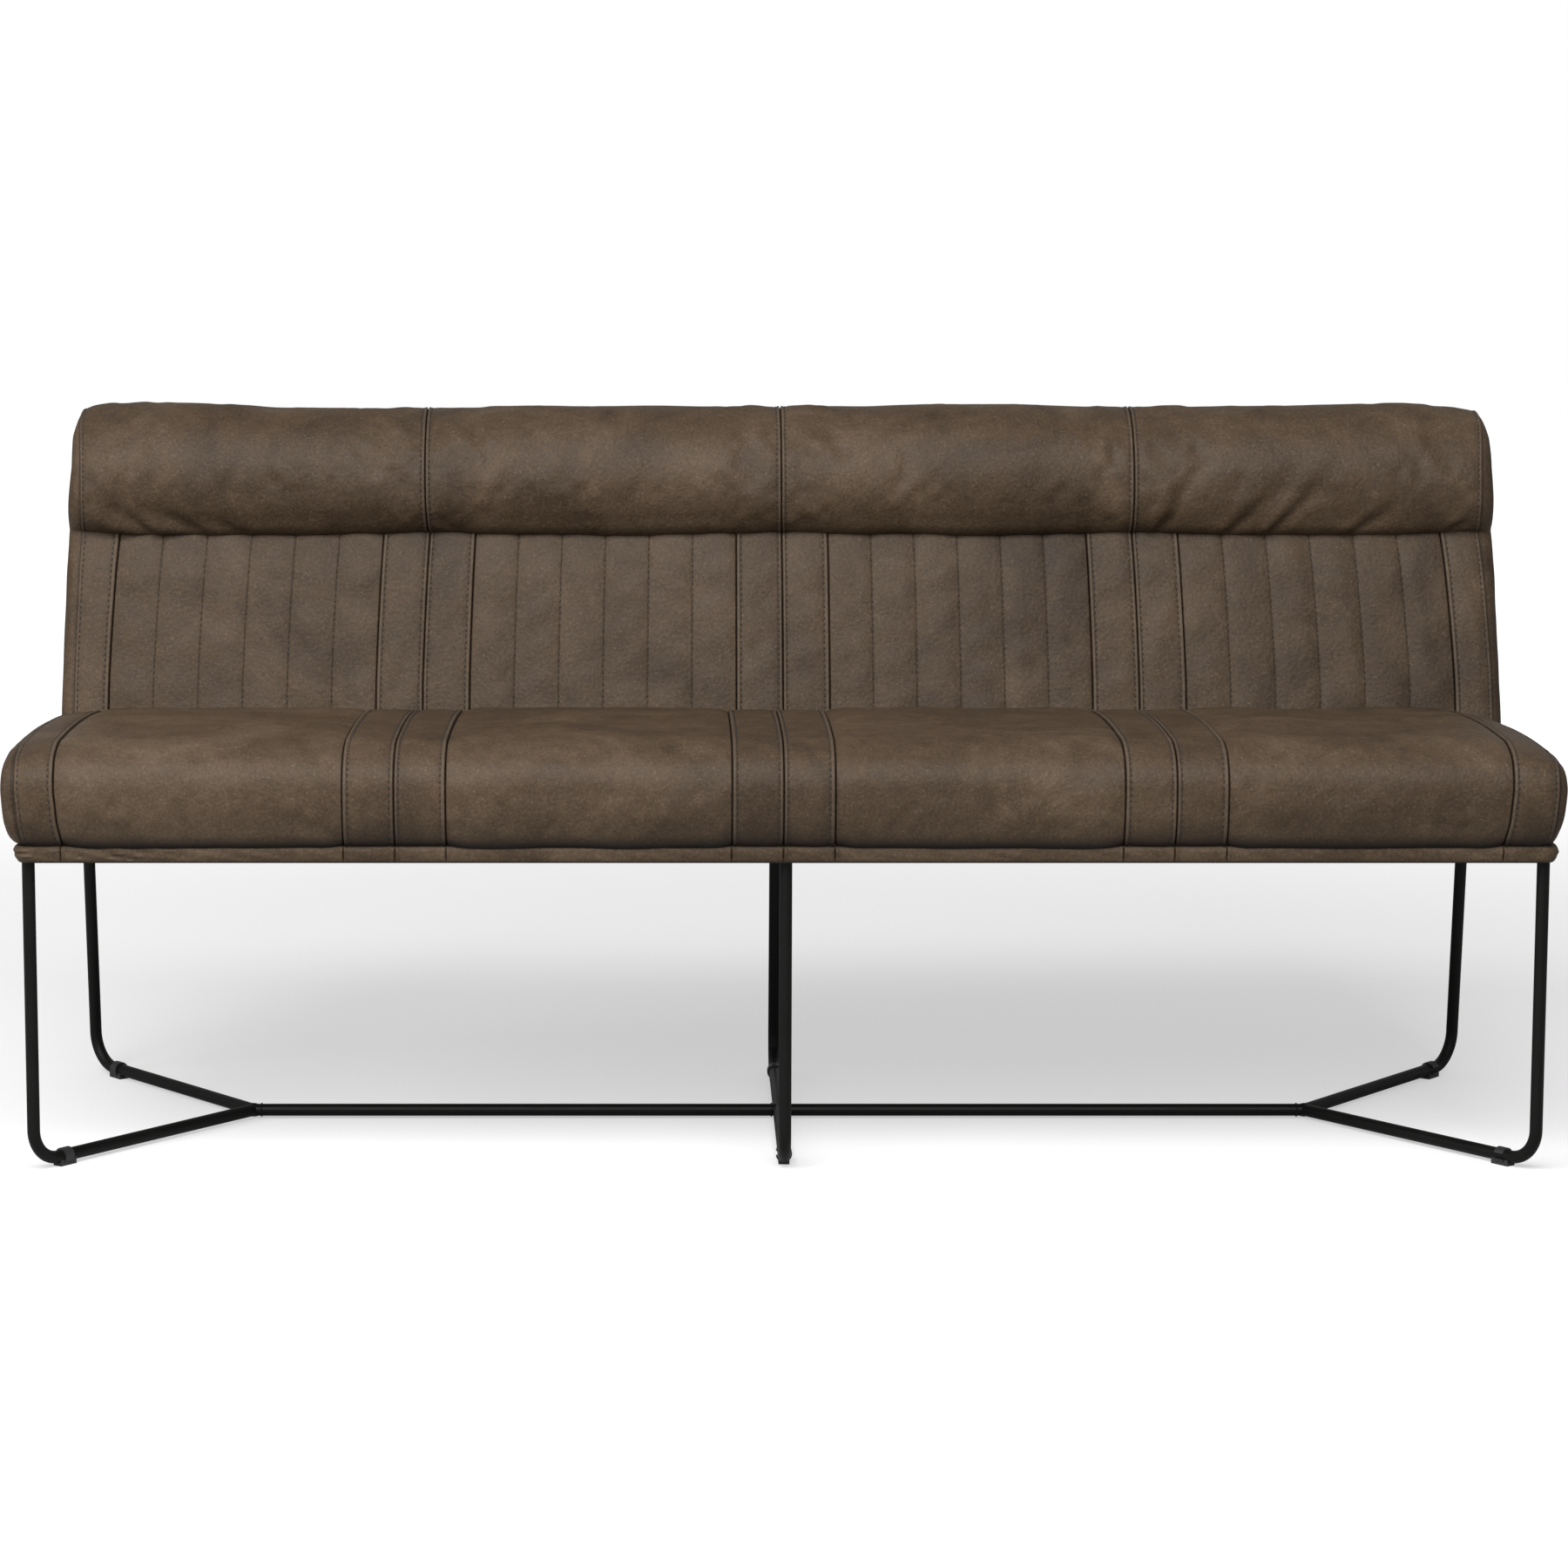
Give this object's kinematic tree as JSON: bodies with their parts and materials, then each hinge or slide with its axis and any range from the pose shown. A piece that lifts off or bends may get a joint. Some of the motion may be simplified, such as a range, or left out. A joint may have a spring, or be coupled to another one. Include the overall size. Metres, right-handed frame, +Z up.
{
  "type": "dining bench",
  "caption": "Padded dining bench with a channelled back and head roll, leather panels with narrow strips, on a bent round bar frame.",
  "frame": {"origin": "on the floor, under the middle of the bounding box", "axes": "+X to the right seen from the front, +Y to the rear, +Z up"},
  "size_m": [1.8, 0.63, 0.865],
  "materials": {
    "leather": "waxed, satin, cloudy",
    "frame": "satin black powder coat",
    "glide": "moulded, matt",
    "foam": "cut foam",
    "timber": "bare",
    "webbing": "woven",
    "felt": "needled",
    "lining": "non-woven"
  },
  "bodies": {
    "root": {"seat_panel_1": "leather", "seat_panel_2": "leather", "seat_panel_3": "leather", "seat_panel_4": "leather", "seat_strips": "leather", "seat_end_strips": "leather", "seat_boxing_left": "leather", "seat_boxing_right": "leather", "hem_band": "leather", "back_panel_1": "leather", "back_panel_2": "leather", "back_panel_3": "leather", "back_panel_4": "leather", "back_strips": "leather", "back_end_strips": "leather", "roll_panels": "leather", "back_boxing_left": "leather", "back_boxing_right": "leather", "rear_cover": "leather", "front_leg_left": "frame", "front_leg_right": "frame", "rear_leg_left": "frame", "rear_leg_right": "frame", "centre_hoop": "frame", "stretcher_left": "frame", "stretcher_right": "frame", "leg_plates": "frame", "glides_front": "glide", "glides_rear": "glide", "seat_foam": "foam", "back_foam": "foam", "roll_foam": "foam", "seat_front_rail": "timber", "seat_rear_rail": "timber", "seat_end_rail_left": "timber", "seat_end_rail_right": "timber", "seat_cross_rail_left": "timber", "seat_cross_rail_centre": "timber", "seat_cross_rail_right": "timber", "corner_blocks": "timber", "back_posts": "timber", "back_top_rail": "timber", "back_bottom_rail": "timber", "seat_webbing": "webbing", "back_webbing": "webbing", "seat_felt": "felt", "dust_cover": "lining"}
  },
  "joints": []
}
